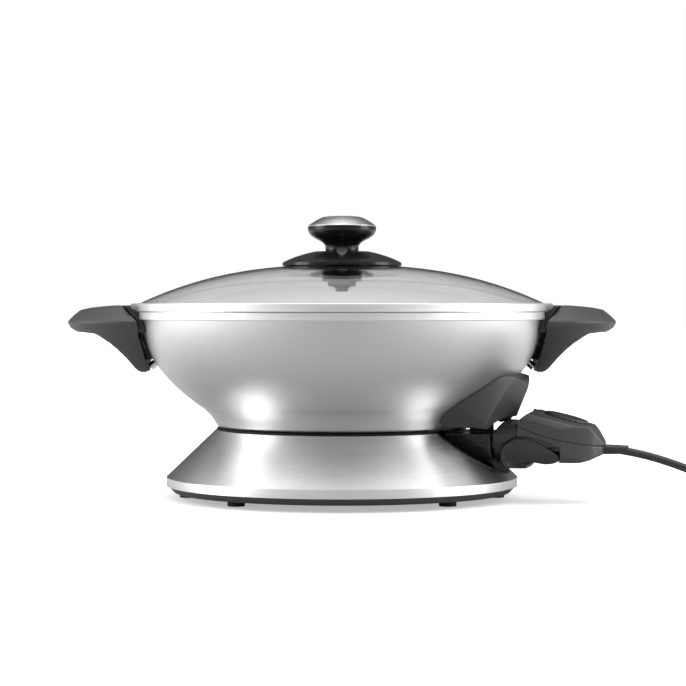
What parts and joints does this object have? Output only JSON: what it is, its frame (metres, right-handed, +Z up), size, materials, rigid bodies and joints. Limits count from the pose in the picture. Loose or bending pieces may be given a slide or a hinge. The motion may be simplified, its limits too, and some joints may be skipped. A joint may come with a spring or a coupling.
{
  "type": "electric wok",
  "caption": "Electric wok: round bowl on a conical pedestal base, domed glass lid with vent knob, two side handles and a pull-out heat-control probe with its cord.",
  "frame": {"origin": "on the table, under the bowl's axis", "axes": "+X to the right through the handles, +Y to the back, +Z up"},
  "size_m": [0.7101, 0.378, 0.2533],
  "materials": {
    "brushed_steel": "brushed sheet, polished at the foot band",
    "polished_steel": "polished",
    "tray_plastic": "moulded, matte",
    "feet_rubber": "soft matte",
    "shield_sheet": "rolled sheet",
    "bowl_aluminium": "satin outside, dark non-stick inside",
    "element_sheath": "oxidised sheath",
    "terminal_metal": "plated",
    "socket_plastic": "glossy",
    "handle_plastic": "fine texture, matte",
    "bracket_plastic": "semi gloss",
    "lid_glass": "clear tempered",
    "gasket_rubber": "soft",
    "knob_plastic": "high gloss",
    "cap_steel": "spun disc",
    "pointer_grey": "satin",
    "probe_plastic": "satin",
    "contact_brass": "plain",
    "thermostat_ceramic": "unglazed",
    "lamp_amber": "translucent",
    "cord_rubber": "satin jacket",
    "dial_plastic": "ribbed"
  },
  "bodies": {
    "base": {"base_skirt": "brushed_steel", "base_tray": "tray_plastic", "seam_ring": "bracket_plastic", "notch_trim": "bracket_plastic", "heat_shield": "shield_sheet", "foot_1": "feet_rubber", "foot_2": "feet_rubber", "foot_3": "feet_rubber", "foot_4": "feet_rubber", "foot_5": "feet_rubber", "foot_6": "feet_rubber", "tray_screw_1": "terminal_metal", "tray_screw_2": "terminal_metal", "tray_screw_3": "terminal_metal"},
    "release": {"release_dial": "tray_plastic", "release_ring": "terminal_metal"},
    "bowl_body": {"bowl": "bowl_aluminium", "lock_stub": "bowl_aluminium", "heating_element": "element_sheath", "terminal_near": "terminal_metal", "terminal_far": "terminal_metal", "sensor_sleeve": "bowl_aluminium", "socket": "socket_plastic", "guard": "handle_plastic", "handle_left": "handle_plastic", "handle_right": "handle_plastic", "bracket_left": "bracket_plastic", "bracket_right": "bracket_plastic", "stud_left": "polished_steel", "stud_right": "polished_steel"},
    "lid": {"lid_glass": "lid_glass", "lid_hoop": "polished_steel", "lid_gasket": "gasket_rubber", "vent_plate": "knob_plastic", "lid_boss": "knob_plastic"},
    "vent_knob": {"knob": "knob_plastic", "knob_cap": "cap_steel", "vent_pointer": "pointer_grey", "knob_screw": "terminal_metal", "vent_shutter": "knob_plastic"},
    "probe": {"probe_collar": "socket_plastic", "probe_upper": "probe_plastic", "probe_lower": "probe_plastic", "sensing_rod": "terminal_metal", "contact_near": "contact_brass", "contact_far": "contact_brass", "thermostat": "thermostat_ceramic", "lamp_lens": "lamp_amber", "strain_relief": "cord_rubber", "cord": "cord_rubber", "cord_coil": "cord_rubber", "cord_tail": "cord_rubber", "coil_tie": "cord_rubber", "plug": "cord_rubber", "plug_blade_1": "terminal_metal", "plug_blade_2": "terminal_metal", "trigger_pin": "terminal_metal"},
    "dial_body": {"dial": "dial_plastic"},
    "trigger_body": {"trigger": "socket_plastic"}
  },
  "joints": [
    {"name": "bowl_lift", "type": "slide", "parent": "base", "child": "bowl_body", "axis": [0, 0, 1], "range_m": [0, 0.12]},
    {"name": "release_turn", "type": "hinge", "parent": "base", "child": "release", "pos_m": [0, 0, 0.006], "axis": [0, 0, 1], "range_deg": [0, 90]},
    {"name": "lid_lift", "type": "slide", "parent": "bowl_body", "child": "lid", "axis": [0, 0, 1], "range_m": [0, 0.15]},
    {"name": "vent_turn", "type": "hinge", "parent": "lid", "child": "vent_knob", "pos_m": [0, 0, 0.222], "axis": [0, 0, 1], "range_deg": [-30, 30]},
    {"name": "probe_pull", "type": "slide", "parent": "bowl_body", "child": "probe", "axis": [0.9659, -0.2588, 0], "range_m": [0, 0.08]},
    {"name": "dial_turn", "type": "hinge", "parent": "probe", "child": "dial_body", "pos_m": [0.19715, -0.05283, 0.07399], "axis": [0.2418, -0.0648, 0.9681], "range_deg": [-280, 0]},
    {"name": "trigger_pull", "type": "hinge", "parent": "probe", "child": "trigger_body", "pos_m": [0.15455, -0.04141, 0.042], "axis": [-0.2588, -0.9659, 0], "range_deg": [0, 7], "stiffness_Nm_per_rad": 0.3, "springref_deg": -6.88}
  ]
}
